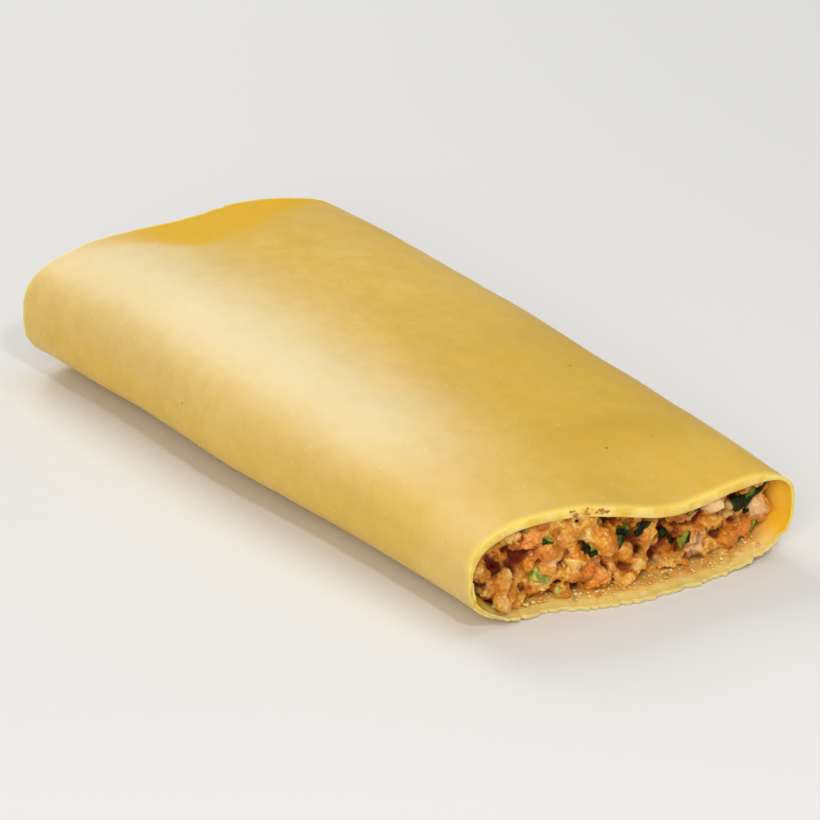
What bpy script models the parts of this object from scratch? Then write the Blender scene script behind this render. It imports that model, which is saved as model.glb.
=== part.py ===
"""Cannelloni: one pasta sheet rolled round a minced filling, cut at both ends and pressed flat.

Metres, +Z up. +X runs along the roll towards the lower, wider cut mouth, +Y across it, and the
origin is the middle of the underside. The sheet is wound once round: its inner edge stands against
the -Y side inside the roll, from there it runs down and over the floor to +Y, round and over the
top, and down over its own inner edge, so that it laps itself along the lower -Y corner.
"""

import math

import bmesh
import bpy
from mathutils import Vector, noise

MM = 0.001

# The roll
LENGTH = 100.0 * MM
WIDTH_FAR, WIDTH_MIDDLE, WIDTH_NEAR = 51.2 * MM, 47.2 * MM, 44.9 * MM
HEIGHT_FAR, HEIGHT_MIDDLE, HEIGHT_NEAR = 18.4 * MM, 18.1 * MM, 13.6 * MM
WAIST = 0.51  # height of the widest point, as a share of the roll's height
SIDE_POWER, TOP_POWER, FLOOR_POWER = 2.5, 3.0, 3.0  # roundness of the cross-section
BELLY = 0.8 * MM  # how far the underside would bulge below the table if it weren't flat
FLOOR_BLEND = 0.4 * MM  # height over which the underside turns into the flat
SIDE_SWELL = 1.3 * MM  # bulge of the -Y side
SIDE_SWELL_AT, SIDE_SWELL_LENGTH = 0.50, 0.21  # shares of the roll's length

# The sheet
THICKNESS = 1.25 * MM
LAP_FAR, LAP_NEAR = 10.0 * MM, 8.8 * MM  # how far the sheet runs over itself
LAP_GAP = 0.2 * MM  # between the two layers of the lap
LAP_RAMP = 5.0 * MM  # distance over which the inner layer comes down off the lap
INNER_EDGE = 0.5  # height of the sheet's inner edge, as a share of the roll's height

# The mouths
MOUTH_SAG = 2.6 * MM  # dip of the upper lip
MOUTH_SAG_AT, MOUTH_SAG_WIDTH = 5.0 * MM, 9.5 * MM
MOUTH_SAG_REACH = 0.16  # share of the roll's length that the dip runs back
MOUTH_TILT = 0.035  # the upper lip is lower at +Y than at -Y
REAR_DROOP = 1.0 * MM  # the top falls away at the far end
REAR_DROOP_AT, REAR_DROOP_WIDTH = 2.0 * MM, 16.0 * MM
REAR_DROOP_REACH = 0.13
NEAR_SKEW, NEAR_LEAN = 0.13, -0.05  # slope of the near cut along Y and Z
NEAR_BOW = 1.8 * MM  # how far its two sides lie behind its middle
LIP_WAVES = (  # unevenness of the near lip on the table: where across, width, how far out
    (-11.5 * MM, 4.5 * MM, -1.7 * MM),
    (1.5 * MM, 5.0 * MM, 0.5 * MM),
    (16.0 * MM, 6.0 * MM, -0.6 * MM),
)
LIP_HEIGHT = 6.0 * MM  # how far up the sides that unevenness reaches
CHEEK = 1.2 * MM  # the near cut stands forward on the -Y side
CHEEK_AT, CHEEK_HEIGHT, CHEEK_SIZE = -22.0 * MM, 7.0 * MM, 4.5 * MM
FAR_SKEW, FAR_LEAN = 0.0, 0.10  # slope of the far cut
FAR_WAVES = (  # unevenness of the far cut's upper edge: where across, width, how far in
    (8.5 * MM, 5.5 * MM, -1.4 * MM),
    (20.5 * MM, 4.5 * MM, 0.7 * MM),
)
CUT_REACH = 0.35  # share of the length over which a slanted cut draws the sheet

# The filling
CLEARANCE = 0.3 * MM  # between the sheet and the filling
NEAR_RECESS, FAR_RECESS = 2.2 * MM, 2.8 * MM
CORNER_RECESS = 0.9 * MM  # deeper towards the +Y corner of the near mouth
CORNER_AT = 14.0 * MM
FOOT_RECESS = 0.5 * MM  # deeper at the foot of each face
LUMP_HEIGHT, LUMP_SIZE = 0.8 * MM, 5.5 * MM
LUMP_SEED = 11.0

ROUND_STEPS = 64  # quads across the sheet
LONG_STEPS = 24  # quads along it
OUTLINE_STEPS = 360
FILL_ROUND_STEPS, FILL_LONG_STEPS, FILL_RINGS = 56, 12, 7

PASTA_COLOUR = (0.80, 0.56, 0.19, 1.0)
FILLING_COLOUR = (0.61, 0.29, 0.10, 1.0)


def three_point(far, middle, near, t):
    """A smooth curve through its value at the far end, the middle and the near end."""
    return far * (1 - t) * (1 - 2 * t) + middle * 4 * t * (1 - t) + near * t * (2 * t - 1)


def smoothstep(x):
    x = min(1.0, max(0.0, x))
    return x * x * (3 - 2 * x)


def bump(distance, width):
    return math.exp(-((distance / width) ** 2))


def signed_power(value, power):
    return math.copysign(abs(value) ** power, value)


def on_the_table(z):
    """Height with everything below the table pressed flat onto it."""
    if z >= FLOOR_BLEND:
        return z
    return max(0.0, z + FLOOR_BLEND) ** 2 / (4 * FLOOR_BLEND)


def sunk(t, y):
    """How far the top of the roll lies below its even crown."""
    mouth = MOUTH_SAG * bump(y - MOUTH_SAG_AT, MOUTH_SAG_WIDTH) + MOUTH_TILT * y
    rear = REAR_DROOP * bump(y - REAR_DROOP_AT, REAR_DROOP_WIDTH)
    return mouth * smoothstep(1 - (1 - t) / MOUTH_SAG_REACH) + rear * smoothstep(1 - t / REAR_DROOP_REACH)


def outline(t):
    """The closed cross-section at share t of the length: evenly turned points, anticlockwise from +Y."""
    half_width = three_point(WIDTH_FAR, WIDTH_MIDDLE, WIDTH_NEAR, t) / 2
    height = three_point(HEIGHT_FAR, HEIGHT_MIDDLE, HEIGHT_NEAR, t)
    waist = WAIST * height
    swell = SIDE_SWELL * bump(t - SIDE_SWELL_AT, SIDE_SWELL_LENGTH)
    points = []
    for i in range(OUTLINE_STEPS):
        angle = math.tau * i / OUTLINE_STEPS
        y = half_width * signed_power(math.cos(angle), 2 / SIDE_POWER)
        y += swell * min(0.0, math.cos(angle))
        if math.sin(angle) >= 0:
            rise = math.sin(angle) ** (2 / TOP_POWER)
            z = waist + (height - waist) * rise - sunk(t, y) * rise**3
        else:
            z = waist - (waist + BELLY) * (-math.sin(angle)) ** (2 / FLOOR_POWER)
        points.append(Vector((0.0, y, on_the_table(z))))
    return points


class Section:
    """One cross-section, read by the distance round it from the sheet's inner edge."""

    def __init__(self, t):
        points = outline(t)
        under = range(OUTLINE_STEPS // 2, OUTLINE_STEPS)
        edge = INNER_EDGE * three_point(HEIGHT_FAR, HEIGHT_MIDDLE, HEIGHT_NEAR, t)
        first = min(under, key=lambda i: abs(points[i].z - edge) + max(0.0, points[i].y))
        self.points = points[first:] + points[: first + 1]
        self.reach = [0.0]
        for a, b in zip(self.points, self.points[1:]):
            self.reach.append(self.reach[-1] + (b - a).length)
        self.length = self.reach[-1]
        self.lap = LAP_FAR + (LAP_NEAR - LAP_FAR) * t

    def outer(self, distance):
        """The point this far round the outline."""
        distance %= self.length
        low, high = 0, len(self.reach) - 1
        while high - low > 1:
            middle = (low + high) // 2
            low, high = (middle, high) if self.reach[middle] <= distance else (low, middle)
        share = (distance - self.reach[low]) / (self.reach[high] - self.reach[low])
        return self.points[low].lerp(self.points[high], share)

    def inward(self, distance):
        """The direction into the roll, square to the outline."""
        step = 0.6 * MM
        along = self.outer(distance + step) - self.outer(distance - step)
        return Vector((0.0, -along.z, along.y)).normalized()

    def sheet(self, distance):
        """The sheet's outer face: the first stretch rides on the lap under it."""
        lift = (THICKNESS + LAP_GAP) * (1 - smoothstep((distance - self.lap - LAP_GAP) / LAP_RAMP))
        return self.outer(distance) + self.inward(distance) * lift

    def cavity(self, share):
        """The boundary of the space inside the sheet, less the clearance."""
        distance = share * self.length
        over = 1 - smoothstep((distance - self.lap - LAP_GAP) / LAP_RAMP)
        over = max(over, smoothstep(1 - (self.length - distance - 2 * CLEARANCE) / LAP_RAMP))
        depth = THICKNESS + CLEARANCE + (THICKNESS + LAP_GAP) * over
        return self.outer(distance) + self.inward(distance) * depth


def cut_shift(t, y, z):
    """How far the slanted cuts draw a point along the roll."""
    waves = sum(reach * bump(y - place, width) for place, width, reach in LIP_WAVES)
    near = NEAR_SKEW * y + NEAR_LEAN * (z - HEIGHT_NEAR / 2) - NEAR_BOW * (2 * y / WIDTH_NEAR) ** 2
    near += waves * smoothstep(1 - z / LIP_HEIGHT)
    near += CHEEK * bump(math.hypot(y - CHEEK_AT, z - CHEEK_HEIGHT), CHEEK_SIZE)
    far = FAR_SKEW * y + FAR_LEAN * (z - HEIGHT_FAR / 2)
    waves = sum(reach * bump(y - place, width) for place, width, reach in FAR_WAVES)
    far += waves * smoothstep(z / HEIGHT_FAR)
    return near * smoothstep(1 - (1 - t) / CUT_REACH) + far * smoothstep(1 - t / CUT_REACH)


def placed(t, point):
    return Vector((LENGTH * (t - 0.5) + cut_shift(t, point.y, point.z), point.y, point.z))


def closer_at_ends(share):
    """Spreads stations so that they lie closer together near both mouths."""
    return 0.5 - 0.5 * math.cos(math.pi * share) * (1 - 0.35 * math.sin(math.pi * share) ** 2)


def pasta_sheet():
    stations = [Section(closer_at_ends(j / LONG_STEPS)) for j in range(LONG_STEPS + 1)]
    bm = bmesh.new()
    bmesh.ops.create_grid(bm, x_segments=ROUND_STEPS, y_segments=LONG_STEPS, size=1.0)
    for vert in bm.verts:
        across, along = (vert.co.x + 1) / 2, (vert.co.y + 1) / 2
        section = stations[round(along * LONG_STEPS)]
        t = closer_at_ends(along)
        vert.co = placed(t, section.sheet(across * (section.length + section.lap)))
    obj = finished(bm, "pasta_sheet", material("pasta", PASTA_COLOUR, 0.38))
    shell = obj.modifiers.new("thickness", "SOLIDIFY")
    shell.thickness = THICKNESS
    shell.offset = -1.0
    shell.use_even_offset = True
    return obj


def face_depth(y, z, height, recess, corner):
    """How far the filling's face lies behind the cut, at one place on it."""
    foot = FOOT_RECESS * (1 - z / height)
    lump = noise.noise(Vector((y, z, LUMP_SEED * LUMP_SIZE)) / LUMP_SIZE)
    return recess + corner * smoothstep((y - CORNER_AT) / CORNER_AT + 1) + foot + LUMP_HEIGHT * lump


def filling():
    """The minced filling: the cavity's own shape, with an uneven face set back from each cut."""
    stations = [Section(closer_at_ends(j / FILL_LONG_STEPS)) for j in range(FILL_LONG_STEPS + 1)]
    rows = FILL_LONG_STEPS + 2 * FILL_RINGS
    bm = bmesh.new()
    bmesh.ops.create_grid(bm, x_segments=FILL_ROUND_STEPS, y_segments=rows, size=1.0)
    for vert in bm.verts:
        share, row = (vert.co.x + 1) / 2, round((vert.co.y + 1) / 2 * rows)
        station = min(FILL_LONG_STEPS, max(0, row - FILL_RINGS))
        section, t = stations[station], closer_at_ends(station / FILL_LONG_STEPS)
        point = section.cavity(share)
        middle = Vector((0.0, 0.0, sum(p.z for p in section.points) / len(section.points)))
        ring = max(FILL_RINGS - row, row - FILL_RINGS - FILL_LONG_STEPS, 0) / FILL_RINGS
        point = point.lerp(middle, smoothstep(ring) * 0.4 + ring * 0.6)
        placed_point = placed(t, point)
        height = HEIGHT_NEAR if t > 0.5 else HEIGHT_FAR
        near_depth = face_depth(point.y, point.z, height, NEAR_RECESS, CORNER_RECESS)
        far_depth = face_depth(point.y, point.z, height, FAR_RECESS, 0.0)
        placed_point.x += far_depth * smoothstep(1 - 4 * t) - near_depth * smoothstep(4 * t - 3)
        vert.co = placed_point
    bmesh.ops.remove_doubles(bm, verts=bm.verts, dist=0.02 * MM)
    bmesh.ops.recalc_face_normals(bm, faces=bm.faces)
    return finished(bm, "filling", material("filling", FILLING_COLOUR, 0.45))


def material(name, colour, roughness):
    made = bpy.data.materials.new(name)
    made.use_nodes = True
    shader = made.node_tree.nodes["Principled BSDF"]
    shader.inputs["Base Color"].default_value = colour
    shader.inputs["Roughness"].default_value = roughness
    shader.inputs["Metallic"].default_value = 0.0
    return made


def finished(bm, name, finish):
    mesh = bpy.data.meshes.new(name)
    bm.to_mesh(mesh)
    bm.free()
    mesh.shade_smooth()
    mesh.materials.append(finish)
    obj = bpy.data.objects.new(name, mesh)
    bpy.context.scene.collection.objects.link(obj)
    return obj


def centre_on_underside(objects):
    """Moves the roll so that the middle of its underside is the origin."""
    corners = [v.co for obj in objects for v in obj.data.vertices]
    middle_x = (min(c.x for c in corners) + max(c.x for c in corners)) / 2
    middle_y = (min(c.y for c in corners) + max(c.y for c in corners)) / 2
    for obj in objects:
        obj.location = (-middle_x, -middle_y, 0.0)


def main():
    for obj in list(bpy.data.objects):
        bpy.data.objects.remove(obj)
    centre_on_underside([pasta_sheet(), filling()])


main()
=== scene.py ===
"""A cooked cannellone: one soft egg-pasta sheet rolled round a moist mince with chopped herbs.

Metres, +Z up, +X along the roll towards the lower mouth, as in the solid model. The sheet is
rolled again here with its frayed cuts, the mince is heaped up grain by grain in both mouths, and
leaves, dice, crumbs and drops of juice are laid on it.
"""

import math
import random

import bmesh
import bpy
from mathutils import Matrix, Vector, kdtree, noise
from mathutils.bvhtree import BVHTree


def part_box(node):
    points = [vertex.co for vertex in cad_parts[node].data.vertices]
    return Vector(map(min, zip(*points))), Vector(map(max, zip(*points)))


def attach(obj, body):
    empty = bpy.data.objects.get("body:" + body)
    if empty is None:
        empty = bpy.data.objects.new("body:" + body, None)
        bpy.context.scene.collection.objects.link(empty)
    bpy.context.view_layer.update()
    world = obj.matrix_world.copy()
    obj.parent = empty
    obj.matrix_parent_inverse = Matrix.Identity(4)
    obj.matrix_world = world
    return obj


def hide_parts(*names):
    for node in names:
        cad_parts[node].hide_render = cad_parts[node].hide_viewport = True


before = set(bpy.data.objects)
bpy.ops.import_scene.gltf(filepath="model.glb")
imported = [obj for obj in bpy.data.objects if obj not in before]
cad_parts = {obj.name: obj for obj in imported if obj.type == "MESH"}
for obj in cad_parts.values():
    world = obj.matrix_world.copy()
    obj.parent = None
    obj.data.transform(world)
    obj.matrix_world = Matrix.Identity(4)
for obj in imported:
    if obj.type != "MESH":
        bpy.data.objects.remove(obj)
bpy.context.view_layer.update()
MM = 0.001

# ---------------------------------------------------------------- the roll, as in the solid model

LENGTH = 100.0 * MM
WIDTH_FAR, WIDTH_MIDDLE, WIDTH_NEAR = 51.2 * MM, 47.2 * MM, 44.9 * MM
HEIGHT_FAR, HEIGHT_MIDDLE, HEIGHT_NEAR = 18.4 * MM, 18.1 * MM, 13.6 * MM
WAIST = 0.51  # height of the widest point, as a share of the roll's height
SIDE_POWER, TOP_POWER, FLOOR_POWER = 2.5, 3.0, 3.0
BELLY, FLOOR_BLEND = 0.8 * MM, 0.4 * MM
SIDE_SWELL = 1.3 * MM
SIDE_SWELL_AT, SIDE_SWELL_LENGTH = 0.50, 0.21

THICKNESS = 1.25 * MM
LAP_FAR, LAP_NEAR = 10.0 * MM, 8.8 * MM
LAP_RAMP = 4.0 * MM
LAP_PRESSED = 0.68  # each layer's thickness where the sheet laps itself, as a share
FREE_EDGE = 0.12  # the outer free edge is pressed down to this share
INNER_EDGE = 0.5

MOUTH_SAG = 2.6 * MM
MOUTH_SAG_AT, MOUTH_SAG_WIDTH = 5.0 * MM, 9.5 * MM
MOUTH_SAG_REACH = 0.16
MOUTH_TILT = 0.035
REAR_DROOP = 1.0 * MM
REAR_DROOP_AT, REAR_DROOP_WIDTH = 2.0 * MM, 16.0 * MM
REAR_DROOP_REACH = 0.13
NEAR_SKEW, NEAR_LEAN = 0.13, -0.05
NEAR_BOW = 1.8 * MM
LIP_WAVES = (
    (-11.5 * MM, 4.5 * MM, -1.7 * MM),
    (1.5 * MM, 5.0 * MM, 0.5 * MM),
    (16.0 * MM, 6.0 * MM, -0.6 * MM),
)
LIP_HEIGHT = 6.0 * MM
CHEEK = 1.2 * MM
CHEEK_AT, CHEEK_HEIGHT, CHEEK_SIZE = -22.0 * MM, 7.0 * MM, 4.5 * MM
FAR_SKEW, FAR_LEAN = 0.0, 0.10
FAR_WAVES = ((8.5 * MM, 5.5 * MM, -1.4 * MM), (20.5 * MM, 4.5 * MM, 0.7 * MM))
CUT_REACH = 0.35
SLIDE = -0.15 * MM  # the middle of the underside is the origin

OUTLINE_STEPS = 720


def three_point(far, middle, near, t):
    """A smooth curve through its value at the far end, the middle and the near end."""
    return far * (1 - t) * (1 - 2 * t) + middle * 4 * t * (1 - t) + near * t * (2 * t - 1)


def smoothstep(x):
    x = min(1.0, max(0.0, x))
    return x * x * (3 - 2 * x)


def bump(distance, width):
    return math.exp(-((distance / width) ** 2))


def signed_power(value, power):
    return math.copysign(abs(value) ** power, value)


def on_the_table(z):
    """Height with everything below the table pressed flat onto it."""
    if z >= FLOOR_BLEND:
        return z
    return max(0.0, z + FLOOR_BLEND) ** 2 / (4 * FLOOR_BLEND)


def sunk(t, y):
    """How far the top of the roll lies below its even crown."""
    mouth = MOUTH_SAG * bump(y - MOUTH_SAG_AT, MOUTH_SAG_WIDTH) + MOUTH_TILT * y
    rear = REAR_DROOP * bump(y - REAR_DROOP_AT, REAR_DROOP_WIDTH)
    return mouth * smoothstep(1 - (1 - t) / MOUTH_SAG_REACH) + rear * smoothstep(1 - t / REAR_DROOP_REACH)


def outline(t):
    """The closed cross-section at share t of the length, anticlockwise from +Y."""
    half_width = three_point(WIDTH_FAR, WIDTH_MIDDLE, WIDTH_NEAR, t) / 2
    height = three_point(HEIGHT_FAR, HEIGHT_MIDDLE, HEIGHT_NEAR, t)
    waist = WAIST * height
    swell = SIDE_SWELL * bump(t - SIDE_SWELL_AT, SIDE_SWELL_LENGTH)
    points = []
    for i in range(OUTLINE_STEPS):
        angle = math.tau * i / OUTLINE_STEPS
        y = half_width * signed_power(math.cos(angle), 2 / SIDE_POWER)
        y += swell * min(0.0, math.cos(angle))
        if math.sin(angle) >= 0:
            rise = math.sin(angle) ** (2 / TOP_POWER)
            z = waist + (height - waist) * rise - sunk(t, y) * rise**3
        else:
            z = waist - (waist + BELLY) * (-math.sin(angle)) ** (2 / FLOOR_POWER)
        points.append(Vector((0.0, y, on_the_table(z))))
    return points


class Section:
    """One cross-section, read by the distance round it from the sheet's inner edge."""

    def __init__(self, t):
        points = outline(t)
        under = range(OUTLINE_STEPS // 2, OUTLINE_STEPS)
        edge = INNER_EDGE * three_point(HEIGHT_FAR, HEIGHT_MIDDLE, HEIGHT_NEAR, t)
        first = min(under, key=lambda i: abs(points[i].z - edge) + max(0.0, points[i].y))
        self.points = points[first:] + points[: first + 1]
        self.reach = [0.0]
        for a, b in zip(self.points, self.points[1:]):
            self.reach.append(self.reach[-1] + (b - a).length)
        self.length = self.reach[-1]
        self.lap = LAP_FAR + (LAP_NEAR - LAP_FAR) * t

    def outer(self, distance):
        """The point this far round the outline."""
        distance %= self.length
        low, high = 0, len(self.reach) - 1
        while high - low > 1:
            middle = (low + high) // 2
            low, high = (middle, high) if self.reach[middle] <= distance else (low, middle)
        share = (distance - self.reach[low]) / (self.reach[high] - self.reach[low])
        return self.points[low].lerp(self.points[high], share)

    def inward(self, distance):
        """The direction into the roll, square to the outline."""
        step = 0.6 * MM
        along = self.outer(distance + step) - self.outer(distance - step)
        return Vector((0.0, -along.z, along.y)).normalized()

    def pressed(self, distance):
        """The sheet's thickness as a share: both layers are pressed thin in the lap."""
        inner_start = 0.25 + 0.75 * smoothstep(distance / (2.5 * MM))
        free_end = smoothstep((self.length + self.lap - distance) / LAP_RAMP)
        on_lap = 1 - smoothstep((distance - self.lap) / LAP_RAMP)
        overlying = smoothstep((distance - self.length + 1 * MM) / (3 * MM))
        share = 1 - (1 - LAP_PRESSED) * max(on_lap, overlying)
        return share * inner_start * (FREE_EDGE + (1 - FREE_EDGE) * free_end)

    def lift(self, distance):
        """How far the sheet is held off the outline by the layer under it, as a share of its thickness."""
        return self.pressed(distance + self.length) if distance < self.lap else 0.0

    def sheet(self, distance, thinning=1.0):
        """The sheet's outer face."""
        return self.outer(distance) + self.inward(distance) * THICKNESS * self.lift(distance) * thinning

    def inside(self, distance, depth=0.0):
        """The sheet's inner face, or this much further in."""
        layers = self.lift(distance) + self.pressed(distance)
        return self.outer(distance) + self.inward(distance) * (THICKNESS * layers + depth)


def cut_shift(t, y, z):
    """How far the slanted cuts draw a point along the roll."""
    waves = sum(reach * bump(y - place, width) for place, width, reach in LIP_WAVES)
    near = NEAR_SKEW * y + NEAR_LEAN * (z - HEIGHT_NEAR / 2) - NEAR_BOW * (2 * y / WIDTH_NEAR) ** 2
    near += waves * smoothstep(1 - z / LIP_HEIGHT)
    near += CHEEK * bump(math.hypot(y - CHEEK_AT, z - CHEEK_HEIGHT), CHEEK_SIZE)
    far = FAR_SKEW * y + FAR_LEAN * (z - HEIGHT_FAR / 2)
    waves = sum(reach * bump(y - place, width) for place, width, reach in FAR_WAVES)
    far += waves * smoothstep(z / HEIGHT_FAR)
    return near * smoothstep(1 - (1 - t) / CUT_REACH) + far * smoothstep(1 - t / CUT_REACH)


def placed(t, point):
    return Vector((LENGTH * (t - 0.5) + cut_shift(t, point.y, point.z) + SLIDE, point.y, point.z))


def closer_at_ends(share, ease=0.35):
    """Spreads stations so that they lie closer together near both mouths."""
    return 0.5 - 0.5 * math.cos(math.pi * share) * (1 - ease * math.sin(math.pi * share) ** 2)


def grain(point, size, seed=0.0):
    """Smooth noise from -1 to 1 with lumps of about this size."""
    return noise.noise(Vector(point) / size + Vector((seed, 2.7 * seed, -1.3 * seed)))


# ---------------------------------------------------------------- finishes


class Value:
    """A number that varies over a surface: arithmetic on it adds Math nodes."""

    def __init__(self, finish, socket):
        self.finish, self.socket = finish, socket

    def math(self, operation, *others):
        return self.finish.node("ShaderNodeMath", {"operation": operation}, dict(enumerate(others)))

    def __add__(self, other):
        return self.math("ADD", self, other)

    def __sub__(self, other):
        return self.math("SUBTRACT", self, other)

    def __rsub__(self, other):
        return self.math("SUBTRACT", other, self)

    def __mul__(self, other):
        return self.math("MULTIPLY", self, other)

    def __truediv__(self, other):
        return self.math("DIVIDE", self, other)

    def __pow__(self, other):
        return self.math("POWER", self, other)

    __radd__ = __add__
    __rmul__ = __mul__


class Finish:
    """A material in the making, with its pattern read in the part's own metres."""

    def __init__(self, name, constants):
        self.material = bpy.data.materials.new(name)
        self.material.use_nodes = True
        self.tree = self.material.node_tree
        self.shader = self.tree.nodes["Principled BSDF"]
        for socket, value in constants.items():
            self.shader.inputs[socket].default_value = value
        self.place = self.node("ShaderNodeTexCoord", {}, {}, "Object")

    def node(self, kind, settings, inputs, output=0):
        """Adds a node, sets it up, and gives its output; inputs are values or links."""
        made = self.tree.nodes.new(kind)
        for name, value in settings.items():
            if name == "stops":
                fill_ramp(made.color_ramp, value)
            else:
                setattr(made, name, value)
        for name, value in inputs.items():
            if isinstance(value, Value):
                self.tree.links.new(value.socket, made.inputs[name])
            else:
                made.inputs[name].default_value = value
        return Value(self, made.outputs[output])

    def attribute(self, name):
        return self.node("ShaderNodeAttribute", {"attribute_name": name}, {}, "Fac")

    def noise(self, size, detail=2.0, roughness=0.5, warp=0.0):
        """Clouds with patches of about this size, from 0 to 1."""
        inputs = {"Vector": self.place, "Scale": 1 / size, "Detail": detail}
        inputs |= {"Roughness": roughness, "Distortion": warp}
        return self.node("ShaderNodeTexNoise", {}, inputs, "Fac")

    def cells(self, size, feature="F1", jitter=1.0):
        """Distance to the nearest of points scattered this far apart, in cells."""
        inputs = {"Vector": self.place, "Scale": 1 / size, "Randomness": jitter}
        return self.node("ShaderNodeTexVoronoi", {"feature": feature}, inputs, "Distance")

    def step(self, value, low, high):
        """0 below low, 1 above high and a smooth rise between them."""
        settings = {"interpolation_type": "SMOOTHSTEP"}
        inputs = {"Value": value, "From Min": low, "From Max": high}
        return self.node("ShaderNodeMapRange", settings, inputs, "Result")

    def ramp(self, value, *stops):
        """Colours along a value: each stop is its place and its colour."""
        return self.node("ShaderNodeValToRGB", {"stops": stops}, {"Fac": value}, "Color")

    def mix(self, share, low, high, blend="MIX"):
        """From one colour to another."""
        settings = {"data_type": "RGBA", "blend_type": blend, "clamp_factor": True}
        return self.node("ShaderNodeMix", settings, {0: share, 6: low, 7: high}, 2)

    def bump(self, height, depth):
        """Relief of this depth in metres, from a height of 0 to 1."""
        inputs = {"Height": height, "Distance": depth, "Strength": 1.0}
        return self.node("ShaderNodeBump", {}, inputs, "Normal")

    def feed(self, **sockets):
        for name, value in sockets.items():
            self.tree.links.new(value.socket, self.shader.inputs[name.replace("_", " ").title()])
        return self.material


def fill_ramp(ramp, stops):
    while len(ramp.elements) < len(stops):
        ramp.elements.new(0.5)
    for element, (place, colour) in zip(ramp.elements, stops):
        element.position = place
        element.color = colour


def srgb(red, green, blue):
    """A colour given as it looks on a screen, 0 to 255."""
    values = [c / 255 for c in (red, green, blue)]
    return tuple(v / 12.92 if v <= 0.04045 else ((v + 0.055) / 1.055) ** 2.4 for v in values) + (1.0,)


SHEEN_CREAM = srgb(236, 216, 166)
PALE_YELLOW = srgb(234, 199, 104)
EGG_YELLOW = srgb(222, 179, 60)
DEEP_YELLOW = srgb(206, 162, 30)
LIP_GLOW_YELLOW = srgb(255, 223, 102)
AMBER_SHADE = srgb(230, 178, 2)
WALL_AMBER_SHADE = srgb(240, 184, 40)
FLOUR = srgb(252, 238, 204)


def pasta_skin():
    """The rolled sheet's outside: smooth and moist, with a painted highlight sheen of cream along the -Y shoulder
    and painted amber shade where the far end hangs free.
    """
    finish = Finish(
        "pasta_skin",
        {
            "Subsurface Weight": 0.35,
            "Subsurface Radius": (1.0, 0.55, 0.16),
            "Subsurface Scale": 0.0022,
            "IOR": 1.38,
            "Coat Roughness": 0.40,
            "Coat IOR": 1.4,
        },
    )
    clouds = finish.noise(11 * MM, 3.0, 0.5)
    mottle = finish.noise(2.4 * MM, 4.0, 0.62)
    speckle = finish.noise(0.7 * MM, 2.0, 0.6)
    light = finish.step(clouds, 0.32, 0.68) * 0.45 + finish.step(mottle, 0.36, 0.64) * 0.35 + speckle * 0.20
    colour = finish.mix(light, EGG_YELLOW, PALE_YELLOW)
    deep = finish.step(finish.noise(21 * MM, 2.0), 0.40, 0.66) * 0.35 + finish.attribute("rich") * 0.5
    colour = finish.mix(deep, colour, DEEP_YELLOW)
    # Painted highlight: a pale cream sheen along the -Y shoulder in place of the soft light's reflection; the near
    # corner is only made paler.
    colour = finish.mix(finish.attribute("pale") * (0.62 + 0.5 * mottle), colour, SHEEN_CREAM)
    # Painted shade: amber where the far end hangs free and turns away from the light.
    free = finish.attribute("hanging") + (mottle - 0.5) * 0.35
    colour = finish.mix(finish.step(free, -0.05, 1.05) * 0.95, colour, AMBER_SHADE)
    # Painted light: the thin upper lip glows bright yellow as if lit through, and a bright rim line runs along the
    # far cut.
    colour = finish.mix(finish.attribute("lip") * 0.8, colour, LIP_GLOW_YELLOW)
    flour = 1 - finish.step(finish.cells(1.1 * MM) + finish.noise(0.3 * MM, 1.0) * 0.10, 0.08, 0.20)
    dusted = finish.step(finish.noise(5 * MM, 2.0), 0.46, 0.62)
    colour = finish.mix(flour * dusted * 0.6, colour, FLOUR)
    bran = 1 - finish.step(finish.cells(9.3 * MM), 0.016, 0.028)
    colour = finish.mix(bran * 0.6, colour, srgb(110, 76, 26))
    roughness = 0.43 + 0.12 * mottle + 0.2 * finish.attribute("hanging")
    relief = finish.bump(finish.noise(2.4 * MM, 3.0) + flour * dusted * 0.35, 0.06 * MM)
    coat = (0.05 + 0.25 * finish.step(clouds, 0.35, 0.7)) * (1 - finish.attribute("hanging"))
    return finish.feed(base_color=colour, roughness=roughness, coat_weight=coat, normal=relief)


def pasta_inside():
    """The inside of the sheet: wet with juice, deep yellow, with painted amber shade on the walls."""
    finish = Finish(
        "pasta_inside",
        {
            "Subsurface Weight": 0.45,
            "Subsurface Radius": (1.0, 0.5, 0.12),
            "Subsurface Scale": 0.0025,
            "IOR": 1.44,
            "Coat Roughness": 0.12,
            "Coat IOR": 1.45,
        },
    )
    clouds = finish.noise(5 * MM, 3.0, 0.55)
    fine = finish.noise(0.9 * MM, 4.0, 0.65)
    # Painted shade: amber on the inner walls, turned away from the light; the up-facing floor is paler yellow.
    colour = finish.mix(finish.step(clouds, 0.35, 0.65) * 0.5, WALL_AMBER_SHADE, PALE_YELLOW)
    colour = finish.mix(finish.attribute("floor") * 0.8, colour, srgb(252, 220, 138))
    soaked = finish.attribute("floor") * finish.step(finish.attribute("juicy") + (clouds - 0.5) * 0.9, 0.1, 0.9)
    colour = finish.mix(soaked * 0.75, colour, srgb(224, 154, 58))
    smears = finish.step(finish.noise(2.0 * MM, 4.0, 0.65, 0.8), 0.50, 0.62) * finish.attribute("floor")
    colour = finish.mix(smears * 0.45, colour, srgb(250, 196, 92))
    # Near-white flecks scattered over the wet floor.
    whitish_flecks = finish.step(fine, 0.56, 0.70) * finish.attribute("floor")
    colour = finish.mix(whitish_flecks * 0.6, colour, srgb(255, 240, 200))
    relief = finish.bump(finish.noise(1.6 * MM, 3.0) + fine * 0.3, 0.20 * MM)
    roughness = 0.22 + 0.2 * clouds
    coat = 0.6 + 0.4 * finish.step(clouds, 0.4, 0.6)
    return finish.feed(base_color=colour, roughness=roughness, coat_weight=coat, normal=relief)


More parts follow.
